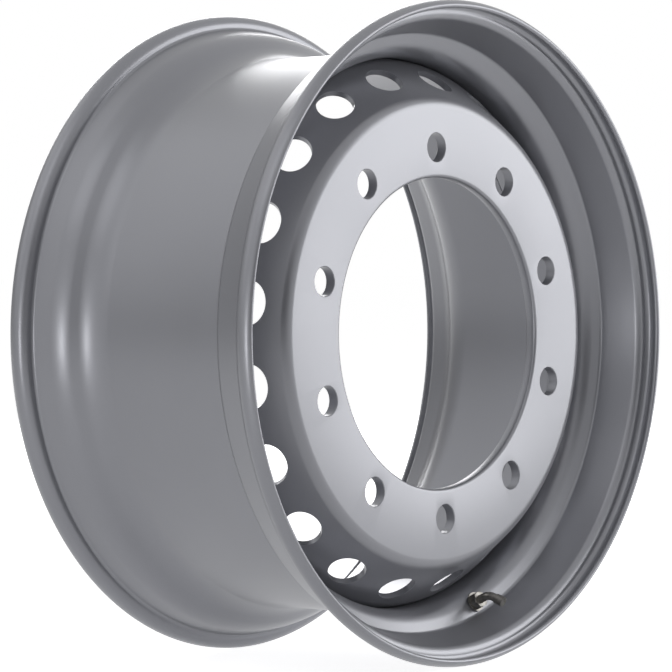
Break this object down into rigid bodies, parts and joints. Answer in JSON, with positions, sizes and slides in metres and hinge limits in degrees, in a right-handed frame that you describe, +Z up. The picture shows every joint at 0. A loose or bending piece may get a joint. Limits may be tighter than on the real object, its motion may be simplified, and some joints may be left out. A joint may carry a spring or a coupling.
{
  "type": "truck steel wheel",
  "caption": "Drop-centre steel truck wheel: rolled rim with tapered bead seats, welded vented disc with bolt circle and hub bore, and a bent clamp-in valve.",
  "frame": {"origin": "centre of the rim, on the axle line and halfway between the two flanges", "axes": "+Y along the axle towards the vehicle, so the street side faces -Y; +Z up, through one bolt hole"},
  "size_m": [0.5968, 0.2852, 0.5968],
  "materials": {
    "wheel_paint": "satin silver-grey wheel enamel",
    "valve_metal": "dull nickel plate",
    "core_brass": "turned brass",
    "valve_rubber": "moulded black rubber"
  },
  "bodies": {
    "root": {"rim": "wheel_paint", "disc": "wheel_paint", "disc_weld": "wheel_paint", "valve_stem": "valve_metal", "valve_washer": "valve_metal", "valve_nut": "valve_metal", "valve_core": "core_brass", "valve_cap": "valve_metal", "valve_grommet": "valve_rubber", "cap_seal": "valve_rubber"}
  },
  "joints": []
}
